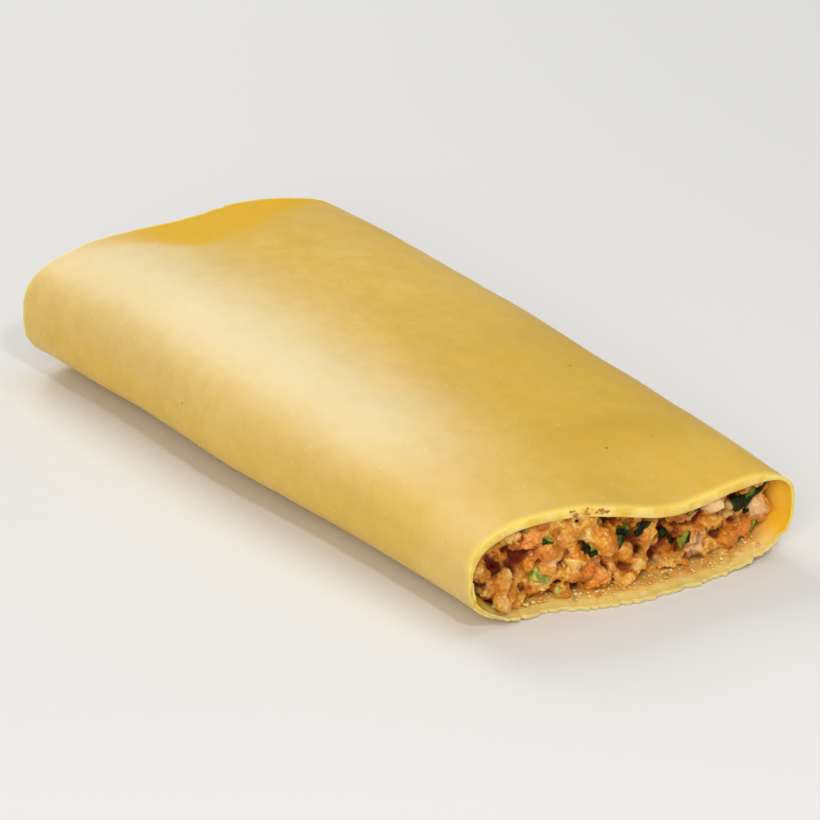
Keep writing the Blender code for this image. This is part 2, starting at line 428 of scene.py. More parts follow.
def pasta_cut():
    """The cut edge of the sheet: bright, damp and finely torn."""
    finish = Finish(
        "pasta_cut",
        {
            "Subsurface Weight": 0.5,
            "Subsurface Radius": (1.0, 0.6, 0.2),
            "Subsurface Scale": 0.002,
            "IOR": 1.44,
            "Coat Roughness": 0.2,
        },
    )
    clouds = finish.noise(2.5 * MM, 4.0, 0.6)
    colour = finish.mix(finish.step(clouds, 0.35, 0.65), srgb(238, 194, 70), srgb(248, 220, 122))
    colour = finish.mix(finish.attribute("floor") * 0.85, colour, srgb(236, 208, 138))
    relief = finish.bump(finish.noise(0.35 * MM, 3.0, 0.6), 0.1 * MM)
    roughness = 0.3 + 0.2 * clouds
    coat = 0.2 + 0.3 * clouds
    return finish.feed(base_color=colour, roughness=roughness, coat_weight=coat, normal=relief)


def wet_mince():
    """Fine cooked mince in its own juice: tan and salmon grains, brown to deep red painted shade between them and in
    the holes, a painted pale highlight on their crests.
    """
    finish = Finish(
        "wet_mince",
        {
            "Subsurface Weight": 0.25,
            "Subsurface Radius": (1.0, 0.4, 0.16),
            "Subsurface Scale": 0.0010,
            "IOR": 1.30,
            "Coat Roughness": 0.1,
            "Coat IOR": 1.4,
        },
    )
    tint = finish.attribute("tint") * 0.18 + finish.noise(3.0 * MM, 3.0, 0.6) * 0.44
    tint = tint + finish.noise(0.8 * MM, 3.0, 0.65) * 0.38
    colour = finish.ramp(
        tint,
        (0.32, srgb(168, 84, 8)),
        (0.42, srgb(202, 116, 20)),
        (0.50, srgb(222, 144, 38)),
        (0.58, srgb(240, 182, 74)),
        (0.66, srgb(255, 227, 148)),
    )
    colour = finish.mix(finish.attribute("salmon") * 0.6, colour, srgb(248, 142, 66))
    colour = finish.mix(finish.attribute("milky") * 0.55, colour, srgb(255, 224, 178))
    brown = finish.step(finish.attribute("browned"), 0.1, 1.0)
    colour = finish.mix(brown * 0.35, colour, srgb(160, 84, 8))
    sunken = finish.attribute("sunken") + (finish.noise(1.2 * MM, 2.0) - 0.5) * 0.5
    # Painted shade: deep red in the creases between the grains, less on the milky patches.
    crease_shade = finish.step(sunken, 0.0, 0.6) * (1 - 0.7 * finish.attribute("milky"))
    colour = finish.mix(crease_shade * 0.9, colour, srgb(132, 28, 2))
    # Painted highlight: pale cream on the crests that stand out.
    colour = finish.mix(finish.step(0 - sunken, 0.25, 1.1) * 0.5, colour, srgb(255, 222, 140))
    # Painted shade: near-black red in the holes and behind the face of the filling.
    deep = finish.step(finish.attribute("deep"), 0.16, 0.70) * (1 - 0.5 * finish.attribute("milky"))
    colour = finish.mix(deep * 0.96, colour, srgb(96, 16, 1))
    relief = finish.bump(finish.noise(0.35 * MM, 3.0, 0.65) + finish.noise(0.9 * MM, 2.0), 0.26 * MM)
    roughness = 0.28 + 0.25 * finish.noise(1.6 * MM, 2.0) + 0.3 * deep
    coat = (0.35 + 0.6 * finish.step(finish.noise(2.1 * MM, 2.0), 0.42, 0.6)) * (1 - deep) * (1 - 0.6 * crease_shade)
    return finish.feed(base_color=colour, roughness=roughness, coat_weight=coat, normal=relief)


def herb_leaf():
    """Cooked green leaf: nearly black and glossy, fresh green along one turned edge."""
    finish = Finish(
        "herb_leaf",
        {
            "Coat Roughness": 0.08,
            "Coat IOR": 1.3,
            "IOR": 1.22,
        },
    )
    patches = finish.noise(1.0 * MM, 3.0)
    colour = finish.mix(finish.step(patches, 0.42, 0.68), srgb(6, 9, 1), srgb(38, 52, 4))
    fresh = finish.attribute("fresh") + (patches - 0.5) * 0.9
    colour = finish.mix(finish.step(fresh, 0.35, 0.85), colour, srgb(134, 148, 44))
    veins = 1 - finish.step(finish.cells(0.7 * MM, "DISTANCE_TO_EDGE"), 0.02, 0.12)
    colour = finish.mix(veins * 0.16, colour, srgb(64, 88, 20))
    relief = finish.bump(finish.noise(0.4 * MM, 3.0) + veins * 0.3, 0.12 * MM)
    coat = 0.05 + 0.2 * patches
    roughness = 0.26 + 0.2 * patches
    return finish.feed(base_color=colour, roughness=roughness, coat_weight=coat, normal=relief)


def green_dice():
    """Diced green stalk: pale outside, darker and wet in its middle."""
    finish = Finish(
        "green_dice",
        {
            "Subsurface Weight": 0.2,
            "Subsurface Radius": (0.8, 1.0, 0.3),
            "Subsurface Scale": 0.001,
            "Coat Weight": 0.5,
            "Coat Roughness": 0.12,
        },
    )
    patches = finish.noise(0.9 * MM, 3.0)
    colour = finish.mix(finish.step(patches, 0.4, 0.6), srgb(196, 190, 84), srgb(126, 138, 34))
    relief = finish.bump(finish.noise(0.3 * MM, 2.0), 0.08 * MM)
    return finish.feed(base_color=colour, roughness=0.3 + 0.2 * patches, normal=relief)


def browned_crumb():
    """Crumbs of mince dried on to the lip."""
    finish = Finish("browned_crumb", {"Coat Roughness": 0.2, "Coat Weight": 0.3, "Subsurface Weight": 0.1})
    patches = finish.noise(0.6 * MM, 3.0)
    colour = finish.mix(finish.step(patches, 0.4, 0.6), srgb(166, 84, 18), srgb(208, 132, 44))
    relief = finish.bump(patches, 0.1 * MM)
    return finish.feed(base_color=colour, roughness=0.4 + 0.2 * patches, normal=relief)


def floor_crumb():
    """Pale wet crumbs of mince and soaked pasta."""
    constants = {"Coat Roughness": 0.12, "Coat Weight": 0.6, "Subsurface Weight": 0.4, "Subsurface Scale": 0.0008}
    finish = Finish("floor_crumb", constants | {"Subsurface Radius": (1.0, 0.5, 0.2)})
    patches = finish.noise(1.1 * MM, 3.0)
    colour = finish.ramp(patches, (0.36, srgb(200, 128, 50)), (0.5, srgb(240, 186, 92)), (0.62, srgb(255, 228, 164)))
    relief = finish.bump(finish.noise(0.25 * MM, 2.0), 0.08 * MM)
    return finish.feed(base_color=colour, roughness=0.3 + 0.2 * patches, normal=relief)


def juice():
    """Clear golden cooking juice."""
    finish = Finish(
        "juice",
        {
            "Subsurface Weight": 0.6,
            "Subsurface Radius": (1.0, 0.6, 0.2),
            "Subsurface Scale": 0.0012,
            "IOR": 1.36,
            "Coat Weight": 1.0,
            "Coat Roughness": 0.03,
            "Coat IOR": 1.4,
        },
    )
    clouds = finish.noise(1.2 * MM, 2.0)
    colour = finish.mix(finish.step(clouds, 0.4, 0.6), srgb(236, 190, 96), srgb(246, 220, 150))
    return finish.feed(base_color=colour, roughness=0.12 + 0.1 * clouds)


# ---------------------------------------------------------------- making pieces


def piece(bm, name, slot_name, *materials):
    """A finished piece from its mesh, riding on the roll."""
    mesh = bpy.data.meshes.new(name)
    bm.to_mesh(mesh)
    bm.free()
    mesh.shade_smooth()
    for material in materials:
        mesh.materials.append(material)
    obj = bpy.data.objects.new(name, mesh)
    bpy.context.scene.collection.objects.link(obj)
    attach(obj, "root")
    return obj


def settled(obj):
    """The piece with its modifiers worked into its mesh."""
    graph = bpy.context.evaluated_depsgraph_get()
    mesh = bpy.data.meshes.new_from_object(obj.evaluated_get(graph))
    obj.modifiers.clear()
    obj.data = mesh
    return obj


# ---------------------------------------------------------------- the pasta sheet

SHEET_COLUMNS, SHEET_ROWS = 250, 176
FRAY_REACH = 2.2 * MM  # how far a ragged cut disturbs the sheet


def fray(point, near):
    """How far the knife left one place on a cut standing out or torn back."""
    on_floor = 1 - smoothstep((point.z - 4.5 * MM) / (3 * MM))
    along = Vector((0.0, point.y, 0.0))
    wave = grain(along, 2.6 * MM, 3.1) * 0.30 * MM
    teeth = abs(grain(along, 0.9 * MM, 5.7)) * 0.9 * MM + grain(along, 0.45 * MM, 8.3) * 0.35 * MM
    along.z = point.z
    soft = grain(along, 3.0 * MM, 1.9) * 0.12 * MM + grain(along, 1.0 * MM, 4.4) * 0.05 * MM
    if near:
        return on_floor * (wave + teeth - 0.35 * MM) + (1 - on_floor) * soft
    notches = max(0.0, grain(along, 1.6 * MM, 6.2) - 0.25) * 0.9 * MM
    return wave * 0.6 + soft + on_floor * teeth * 0.6 - notches


def undulation(point):
    """The gentle bumps of a soft sheet over its filling, least at the cuts and none on the table."""
    held = smoothstep((LENGTH / 2 - abs(point.x)) / (12 * MM))
    broad = grain(point, 17 * MM, 0.7) * 0.30 * MM * held
    small = grain(point, 6 * MM, 2.2) * 0.10 * MM
    fine = grain(point, 2.4 * MM, 9.1) * 0.022 * MM
    return (broad + small + fine) * smoothstep((point.z - 0.6 * MM) / (4 * MM))


def thinned(point, near_cut, far_cut):
    """The sheet's thickness as a share: the cuts are dragged thin, save on the upper lip."""
    on_top = smoothstep((point.z - 7 * MM) / (3 * MM)) * (1 - smoothstep((point.y - 15 * MM) / (6 * MM)))
    swollen = 0.35 * on_top * bump(point.y - 1 * MM, 7 * MM)
    near = smoothstep(1 - near_cut / (3.2 * MM)) * (0.62 - 0.5 * on_top - swollen)
    far = smoothstep(1 - far_cut / (3.5 * MM)) * 0.45
    return (1 - near) * (1 - far)


def shoulder_sheen_and_pale_corner(point):
    """1 along the -Y shoulder, where a highlight sheen is painted, fading towards the near mouth; a little at its
    near corner, which is only made paler.
    """
    shoulder = bump(point.y + 16 * MM, 9 * MM) * smoothstep((point.z - 6 * MM) / (9 * MM))
    corner = 0.3 * smoothstep((point.x - 32 * MM) / (10 * MM)) * smoothstep((-15 * MM - point.y) / (5 * MM))
    return shoulder * (1 - 0.85 * smoothstep((point.x - 12 * MM) / (34 * MM))) + corner


def deep_yellow(point):
    """1 on the top towards the near mouth and +Y, fading again close to the lip."""
    near = smoothstep((point.x + 5 * MM) / (30 * MM)) * (1 - 0.8 * smoothstep((point.x - 34 * MM) / (12 * MM)))
    return near * smoothstep((point.y + 14 * MM) / (14 * MM))


def far_hanging_shade(point, far_cut):
    """1 on the top of the far end, where no filling lies under the sheet and it bends away from the light, for
    painted amber shade; half as much towards -Y.
    """
    width = 9.2 * MM if point.y < -2 * MM else 18 * MM
    depth = 14.0 * MM * bump(point.y + 2 * MM, width) + 2.2 * MM * grain(point, 6 * MM, 4.0)
    soft = 3.2 * MM
    bare = (1 - smoothstep((far_cut - depth + soft) / (2 * soft))) * smoothstep((point.z - 12 * MM) / (3 * MM))
    return bare * (0.5 + 0.5 * smoothstep((point.y + 14 * MM) / (9 * MM)))


def lip_glow(point, near_cut, far_cut):
    """1 on the upper lip of the near mouth, less on its -Y side and on the far cut: painted light shining through
    the thin edge, and a painted rim line along the far cut.
    """
    raised = smoothstep((point.z - 3 * MM) / (4 * MM)) * (0.45 + 0.55 * smoothstep((point.y + 21 * MM) / (7 * MM)))
    return max(raised * smoothstep(1 - near_cut / (1.3 * MM)), 0.7 * smoothstep(1 - far_cut / (0.7 * MM)))


def pasta_sheet():
    """The sheet, rolled once round with its lap, each cut a little ragged."""
    stations = [Section(closer_at_ends(j / SHEET_ROWS)) for j in range(SHEET_ROWS + 1)]
    bm = bmesh.new()
    bmesh.ops.create_grid(bm, x_segments=SHEET_COLUMNS, y_segments=SHEET_ROWS, size=1.0)
    names = ("pale", "rich", "hanging", "lip", "floor", "juicy")
    pale, rich, hanging, lip, floor, juicy = (bm.verts.layers.float.new(n) for n in names)
    weights = bm.verts.layers.deform.verify()
    for vert in bm.verts:
        across, along = (vert.co.x + 1) / 2, (vert.co.y + 1) / 2
        section, t = stations[round(along * SHEET_ROWS)], closer_at_ends(along)
        distance = across * (section.length + section.lap)
        near_cut, far_cut = (1 - t) * LENGTH, t * LENGTH
        thinning = thinned(section.outer(distance), near_cut, far_cut)
        point = placed(t, section.sheet(distance, thinning))
        point -= section.inward(distance) * undulation(point)
        point.x += fray(point, True) * smoothstep(1 - near_cut / FRAY_REACH)
        point.x -= fray(point, False) * smoothstep(1 - far_cut / FRAY_REACH)
        # Painted highlight sheen along the shoulder, read by the skin's colour.
        vert[pale] = shoulder_sheen_and_pale_corner(point)
        vert[rich] = deep_yellow(point)
        vert[juicy] = smoothstep((near_cut - 0.5 * MM) / (2.2 * MM))
        # Where the far end hangs free: painted amber shade, a rougher skin and no coat.
        vert[hanging] = far_hanging_shade(point, far_cut)
        vert[lip] = lip_glow(point, near_cut, far_cut)
        vert[floor] = 1 - smoothstep((point.z - 1.0 * MM) / (2.4 * MM))
        vert[weights][0] = section.pressed(distance) * thinning
        vert.co = point
    sheet = piece(bm, "rolled_pasta", "pasta", pasta_skin(), pasta_inside(), pasta_cut())
    sheet.vertex_groups.new(name="thickness")
    shell = sheet.modifiers.new("thickness", "SOLIDIFY")
    shell.vertex_group = "thickness"
    shell.thickness = THICKNESS
    shell.offset = -1.0
    shell.use_even_offset = True
    shell.material_offset = 1
    shell.material_offset_rim = 2
    rounded = sheet.modifiers.new("soft_cut_edges", "BEVEL")
    rounded.width = 0.16 * MM
    rounded.segments = 2
    rounded.limit_method = "ANGLE"
    rounded.angle_limit = math.radians(60)
    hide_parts("pasta_sheet")
    return sheet


# ---------------------------------------------------------------- the mince

VOXEL_NEAR, VOXEL_FAR = 0.20 * MM, 0.25 * MM
LAYERS = 3
LAYER_DEPTH = 1.0 * MM


class Wall:
    """The sheet's inner face at one station, to keep the mince inside it."""

    STEPS = 300

    def __init__(self, t):
        self.section = Section(t)
        self.step = self.section.length / self.STEPS
        self.tree = kdtree.KDTree(self.STEPS)
        for index in range(self.STEPS):
            self.tree.insert(self.section.inside(index * self.step), index)
        self.tree.balance()

    def gap(self, point):
        """How far inside the sheet a point lies, and the direction further in."""
        spot = Vector((0.0, point.y, point.z))
        nearest, index, _ = self.tree.find(spot)
        inward = self.section.inward(index * self.step)
        return (spot - nearest).dot(inward), inward


class Mouth:
    """One open end of the roll, where the filling shows."""

    def __init__(self, near, seed):
        self.near, self.out = near, 1 if near else -1
        stations = (1.0, 0.98, 0.96, 0.94, 0.92)
        self.walls = [Wall(t if near else 1 - t) for t in stations]
        self.random = random.Random(seed)
        self.seed = seed
        self.pits = NEAR_PITS if near else FAR_PITS
        self.salmon, self.milky = (NEAR_SALMON, NEAR_MILKY) if near else (FAR_SALMON, FAR_MILKY)

    def holds(self, y, z, margin):
        """Whether a grain at this place stays within the sheet."""
        gap, inward = self.walls[1].gap(Vector((0.0, y, z)))
        return gap > margin

    def tucked(self, point):
        """The point, drawn back into the sheet if it lies outside its inner face."""
        at_cut = placed(1.0 if self.near else 0.0, Vector((0.0, point.y, point.z))).x
        behind = (at_cut - point.x) * self.out / LENGTH
        wall = self.walls[min(4, max(0, round(behind / 0.02)))]
        gap, inward = wall.gap(point)
        return point + inward * max(0.0, -gap - 0.12 * MM)

    def recess(self, y, z):
        """How far the face of the filling lies behind the cut."""
        height = HEIGHT_NEAR if self.near else HEIGHT_FAR
        foot = 1 - z / height
        mound = grain((0.0, y, z), 4.6 * MM, self.seed) * 0.7 * MM
        ravine = bump(grain((0.0, y, z), 3.6 * MM, self.seed + 7.5), 0.10) * 1.4 * MM
        if self.near:
            depth = 0.8 * MM + 0.9 * MM * foot**2 + 2.2 * MM * smoothstep((y - 13 * MM) / (10 * MM))
            depth += 1.3 * MM * bump(y - 5 * MM, 8 * MM) * (1 - foot)
            depth += 1.0 * MM * bump(y - 4 * MM, 9 * MM) * foot**2
        else:
            depth = 5.2 * MM + 1.2 * MM * foot
        return depth - mound + ravine + self.hollow(y, z)

    def hollow(self, y, z):
        """How far the face is sunk in one of the holes between the lumps."""
        return sum(p[3] * bump(math.hypot(y - p[0], z - p[1]), p[2]) for p in self.pits)

    def face(self, y, z, depth=0.0):
        """The place on the face of the filling, or this much behind it."""
        at_cut = placed(1.0 if self.near else 0.0, Vector((0.0, y, z)))
        return at_cut - Vector((self.out * (self.recess(y, z) + depth), 0.0, 0.0))


# across, up, radius and depth of the holes between the lumps; the first is a blob spilt on the lip
NEAR_PITS = (
    (-16.3 * MM, 1.2 * MM, 2.2 * MM, -1.9 * MM),
    (-14.8 * MM, 3.2 * MM, 1.0 * MM, 2.0 * MM),
    (-2.6 * MM, 5.0 * MM, 1.3 * MM, 2.6 * MM),
    (4.1 * MM, 3.7 * MM, 1.7 * MM, 2.8 * MM),
    (7.0 * MM, 4.2 * MM, 0.9 * MM, 2.0 * MM),
    (13.1 * MM, 5.2 * MM, 1.2 * MM, 2.8 * MM),
    (11.0 * MM, 6.3 * MM, 0.8 * MM, 1.6 * MM),
    (-9.5 * MM, 6.0 * MM, 0.7 * MM, 1.4 * MM),
    (-1.0 * MM, 9.4 * MM, 1.0 * MM, 2.0 * MM),
    (6.6 * MM, 7.6 * MM, 1.0 * MM, 2.0 * MM),
    (14.4 * MM, 8.4 * MM, 1.3 * MM, 2.6 * MM),
    (17.2 * MM, 5.2 * MM, 0.7 * MM, 1.5 * MM),
    (5.6 * MM, 6.2 * MM, 0.9 * MM, 1.6 * MM),
    (15.9 * MM, 6.4 * MM, 0.8 * MM, 1.6 * MM),
)
# across, up and radius of the salmon-coloured and of the milky patches
NEAR_SALMON = (
    (-4.2 * MM, 3.9 * MM, 1.9 * MM),
    (-13.4 * MM, 8.8 * MM, 1.5 * MM),
    (-10.6 * MM, 6.2 * MM, 1.0 * MM),
    (16.6 * MM, 4.0 * MM, 1.1 * MM),
    (-6.4 * MM, 7.6 * MM, 0.7 * MM),
)
NEAR_MILKY = (
    (9.9 * MM, 3.4 * MM, 1.5 * MM),
    (11.2 * MM, 8.6 * MM, 0.9 * MM),
    (18.6 * MM, 6.2 * MM, 1.2 * MM),
    (-11.0 * MM, 6.9 * MM, 0.7 * MM),
    (-7.2 * MM, 2.6 * MM, 0.6 * MM),
)
FAR_PITS = (
    (-12.0 * MM, 6.0 * MM, 1.4 * MM, 2.4 * MM),
    (2.5 * MM, 9.0 * MM, 1.2 * MM, 2.2 * MM),
    (11.0 * MM, 5.0 * MM, 1.5 * MM, 2.6 * MM),
)
FAR_SALMON = ((-6.0 * MM, 10.0 * MM, 2.0 * MM), (8.0 * MM, 9.0 * MM, 1.6 * MM), (15.0 * MM, 6.0 * MM, 1.3 * MM))
FAR_MILKY = ((-2.0 * MM, 5.0 * MM, 1.5 * MM), (13.0 * MM, 11.0 * MM, 1.2 * MM))


def patched(point, patches):
    """1 inside any of the patches, fading out over their uneven borders."""
    y = point.y + grain(point, 1.5 * MM, 2.5) * 0.7 * MM
    z = point.z + grain(point, 1.5 * MM, 6.5) * 0.7 * MM
    return max(smoothstep(1.5 - math.hypot(y - p[0], z - p[1]) / p[2]) for p in patches)


def strewn(mouth, spacing, radius_low, radius_high, depth_low, depth_high, tries):
    """Grains dropped at random in the mouth, none nearer to another than the spacing."""
    low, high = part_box("filling")
    spots = []
    for _ in range(tries):
        y, z = mouth.random.uniform(low.y, high.y), mouth.random.uniform(low.z, high.z)
        radius = mouth.random.uniform(radius_low, radius_high)
        if any(math.hypot(y - s[0], z - s[1]) < spacing for s in spots):
            continue
        if not mouth.holds(y, z, radius * 0.25):
            continue
        spots.append((y, z, radius, mouth.random.uniform(depth_low, depth_high)))
    return spots


def rumpled_ball(bm, centre, radius, rng, detail=2):
    """One lump: a ball squeezed out of round."""
    turn = Matrix.Rotation(rng.uniform(0, math.tau), 4, Vector([rng.gauss(0, 1) for _ in range(3)]).normalized())
    squeeze = Matrix.Diagonal([rng.uniform(0.75, 1.3) for _ in range(3)] + [1.0])
    place = Matrix.Translation(centre) @ turn @ squeeze
    made = bmesh.ops.create_icosphere(bm, subdivisions=detail, radius=radius, matrix=place)
    for vert in made["verts"]:
        swell = 1 + 0.5 * grain(vert.co, radius * 1.2, centre.y * 900)
        vert.co = centre + (vert.co - centre) * swell


def mince(mouth, name, finish):
    """The uneven face of the filling in one mouth: lumps grown together, then crumbled."""
    bm = bmesh.new()
    lumps = []
    for layer in range(LAYERS):
        for y, z, radius, jitter in strewn(mouth, 1.9 * MM, 1.1 * MM, 2.1 * MM, -0.5 * MM, 0.6 * MM, 1800):
            lumps.append((mouth.face(y, z, layer * LAYER_DEPTH + jitter + radius * 0.85), radius))
    for y, z, radius, jitter in strewn(mouth, 2.4 * MM, 0.5 * MM, 0.9 * MM, -0.2 * MM, 0.6 * MM, 600):
        lumps.append((mouth.face(y, z, jitter + radius * 0.5), radius))
    for centre, radius in lumps:
        rumpled_ball(bm, centre, radius, mouth.random)
    obj = piece(bm, name, "filling", finish)
    grown = obj.modifiers.new("grown_together", "REMESH")
    grown.mode = "VOXEL"
    grown.voxel_size = VOXEL_NEAR if mouth.near else VOXEL_FAR
    settled(obj)
    crumble(obj, mouth, lumps)
    return obj


def crumbs(point):
    """Relief of minced meat: rounded crumbs with sharp creases between them, in three sizes."""
    coarse = abs(grain(point, 1.6 * MM, 3.3)) * 0.62 * MM
    middle = abs(grain(point, 0.8 * MM, 5.1)) * 0.46 * MM
    fine = grain(point, 0.42 * MM, 7.7) * 0.13 * MM
    rubbed = 0.5 + 0.6 * smoothstep(0.5 + 1.4 * grain(point, 4.5 * MM, 8.9))
    return (coarse + middle + fine - 0.32 * MM) * rubbed


def crumble(obj, mouth, lumps):
    """Crumbles the joined lumps and marks each place with its lump's tint, how far it lies below the smoothed
    surface and how far behind the face, for painted shade.
    """
    tree = kdtree.KDTree(len(lumps))
    for index, (centre, _) in enumerate(lumps):
        tree.insert(centre, index)
    tree.balance()
    tints = [mouth.random.random() for _ in lumps]
    bm = bmesh.new()
    bm.from_mesh(obj.data)
    even_out(bm, 6)
    bm.normal_update()
    for vert in bm.verts:
        vert.co = mouth.tucked(vert.co + vert.normal * crumbs(vert.co))
    bm.normal_update()
    worn = bm.copy()
    even_out(worn, 14)
    worn.verts.ensure_lookup_table()
    names = ("tint", "sunken", "deep", "browned", "salmon", "milky")
    tint, sunken, deep, browned, salmon, milky = (bm.verts.layers.float.new(n) for n in names)
    for vert in bm.verts:
        vert[tint] = tints[tree.find(vert.co)[1]]
        # How far a place lies below the smoothed surface, for the painted crease shade and crest highlight.
        vert[sunken] = (worn.verts[vert.index].co - vert.co).dot(vert.normal) / (0.45 * MM)
        # How deep a place lies behind the face and in the holes, for the painted shade there.
        behind = (mouth.face(vert.co.y, vert.co.z).x - vert.co.x) * mouth.out
        vert[deep] = (behind + 0.8 * mouth.hollow(vert.co.y, vert.co.z)) / (2.6 * MM)
        vert[browned] = smoothstep((-10 * MM - vert.co.y) / (11 * MM)) if mouth.near else 0.0
        vert[salmon] = patched(vert.co, mouth.salmon)
        vert[milky] = patched(vert.co, mouth.milky)
    mouth.surface = BVHTree.FromBMesh(bm)
    bm.to_mesh(obj.data)
    bm.free()
    worn.free()
    obj.data.shade_smooth()


def even_out(bm, times):
    for _ in range(times):
        bmesh.ops.smooth_vert(bm, verts=bm.verts, factor=0.5, use_axis_x=True, use_axis_y=True, use_axis_z=True)


CORE_RINGS, CORE_SIDES = 24, 48


def filling_core():
    """The body of the filling, hidden in the sheet behind the two faces."""
    bm = bmesh.new()
    ends = (0.075, 0.945)
    bmesh.ops.create_grid(bm, x_segments=CORE_SIDES, y_segments=CORE_RINGS, size=1.0)
    sections = [Section(ends[0] + (ends[1] - ends[0]) * j / CORE_RINGS) for j in range(CORE_RINGS + 1)]
    for vert in bm.verts:
        across, row = (vert.co.x + 1) / 2, round((vert.co.y + 1) / 2 * CORE_RINGS)
        section = sections[row]
        point = section.inside(across * section.length, 0.15 * MM)
        vert.co = placed(ends[0] + (ends[1] - ends[0]) * row / CORE_RINGS, point)
    bmesh.ops.remove_doubles(bm, verts=bm.verts, dist=0.01 * MM)
    bmesh.ops.holes_fill(bm, edges=bm.edges, sides=0)
    bmesh.ops.recalc_face_normals(bm, faces=bm.faces)
    return bm


def filling():
    finish = wet_mince()
    core = piece(filling_core(), "filling_core", "filling", finish)
    near, far = Mouth(True, 5), Mouth(False, 12)
    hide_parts("filling")
    mince(near, "mince_near", finish)
    mince(far, "mince_far", finish)
    return near, far


# ---------------------------------------------------------------- herbs, dice, crumbs and juice


def leaf(bm, fresh, length, width, curl, freshness, place, rng):
    """One piece of leaf: an uneven blade, folded over its rib, curled and crumpled."""
    made = bmesh.ops.create_grid(bm, x_segments=16, y_segments=12, size=1.0)
    phase = rng.uniform(0, math.tau)
    for vert in made["verts"]:
        u, v = vert.co.x, vert.co.y
        torn = 0.45 * grain((u * MM, math.copysign(MM, v), phase * MM), 0.55 * MM, phase)
        spread = (1 - abs(u) ** 2.4) ** 0.5 * (1 + 0.22 * math.sin(5 * u + phase) + torn) + 0.12
        x = u * length / 2 * (1 - 0.12 * v * v + torn * 0.4)
        turned = v * 1.25
        y, lift = math.sin(turned) * width / 2 * spread, -(1 - math.cos(turned)) * width / 2 * spread
        lift -= curl * length * u * u
        rough = grain((x, y, phase * MM), 0.9 * MM, phase) * 0.5 * MM
        vert[fresh] = freshness * smoothstep((v + 0.2) / 0.6)
        vert.co = place @ Vector((x, y + 0.5 * rough, lift + rough))


def facing_out(mouth, y, z, turn, tip, lift=0.45 * MM):
    """A place on the filling's face: local Z points out of the mouth, tipped up and turned."""
    out = Vector((mouth.out, 0.0, 0.0))
    lie = out.to_track_quat("Z", "Y").to_matrix().to_4x4()
    before = mouth.face(y, z, -6 * MM)
    spot = mouth.surface.ray_cast(before, -out)[0] or mouth.face(y, z)
    spot = spot + out * lift
    tilted = Matrix.Rotation(math.radians(tip), 4, "X") @ Matrix.Rotation(math.radians(turn), 4, "Z")
    return Matrix.Translation(spot) @ lie @ tilted


# across, up, length, width, turn, tip, curl, how much of it is fresh green
NEAR_LEAVES = (
    (18.6 * MM, 8.4 * MM, 3.6 * MM, 2.4 * MM, 35, 10, 0.06, 0.6),
    (16.2 * MM, 7.3 * MM, 4.2 * MM, 2.2 * MM, 15, -10, 0.04, 0.1),
    (6.5 * MM, 4.9 * MM, 3.1 * MM, 2.3 * MM, -65, 0, 0.12, 0.1),
    (7.9 * MM, 4.8 * MM, 2.7 * MM, 1.5 * MM, 80, 12, 0.08, 0.9),
    (1.9 * MM, 7.6 * MM, 2.8 * MM, 1.7 * MM, 35, 10, 0.10, 0.3),
    (-1.2 * MM, 8.3 * MM, 2.5 * MM, 1.7 * MM, -20, -10, 0.06, 0.6),
    (-2.0 * MM, 7.0 * MM, 2.3 * MM, 1.8 * MM, 70, 15, 0.12, 0.5),
    (-6.3 * MM, 6.9 * MM, 2.3 * MM, 1.5 * MM, -15, 15, 0.05, 0.1),
    (-5.0 * MM, 6.6 * MM, 2.1 * MM, 1.5 * MM, -10, -10, 0.10, 0.9),
    (-11.9 * MM, 9.8 * MM, 1.9 * MM, 1.1 * MM, -35, 0, 0.10, 1.0),
    (18.0 * MM, 4.2 * MM, 1.6 * MM, 1.0 * MM, 70, 0, 0.05, 1.0),
    (7.7 * MM, 9.0 * MM, 2.0 * MM, 0.9 * MM, 12, 30, 0.0, 0.7),
    (17.4 * MM, 5.8 * MM, 0.9 * MM, 0.7 * MM, 0, 0, 0.0, 0.2),
)
NEAR_DICE = ((-12.2 * MM, 5.0 * MM, 1.9 * MM), (-9.6 * MM, 2.5 * MM, 1.0 * MM))


def herb_leaves(near, far):
    """Chopped leaves lying in both faces of the filling."""
    rng = random.Random(21)
    bm = bmesh.new()
    fresh = bm.verts.layers.float.new("fresh")
    for y, z, length, width, turn, tip, curl, freshness in NEAR_LEAVES:
        leaf(bm, fresh, length, width, curl, freshness, facing_out(near, y, z, turn, tip), rng)
    for y, z, _, _ in strewn(far, 5.5 * MM, 1.6 * MM, 1.8 * MM, 0, 1, 60)[:9]:
        place = facing_out(far, y, z, rng.uniform(0, 360), rng.uniform(-20, 20))
        length, width = rng.uniform(1.6, 3.6) * MM, rng.uniform(1.0, 2.2) * MM
        leaf(bm, fresh, length, width, 0.08, rng.choice((0.0, 0.3, 0.6, 1.0)), place, rng)
    leaves = piece(bm, "herb_leaves", "filling", herb_leaf())
    blade = leaves.modifiers.new("blade", "SOLIDIFY")
    blade.thickness = 0.25 * MM
    smooth = leaves.modifiers.new("smooth", "SUBSURF")
    smooth.levels = smooth.render_levels = 1
    return leaves


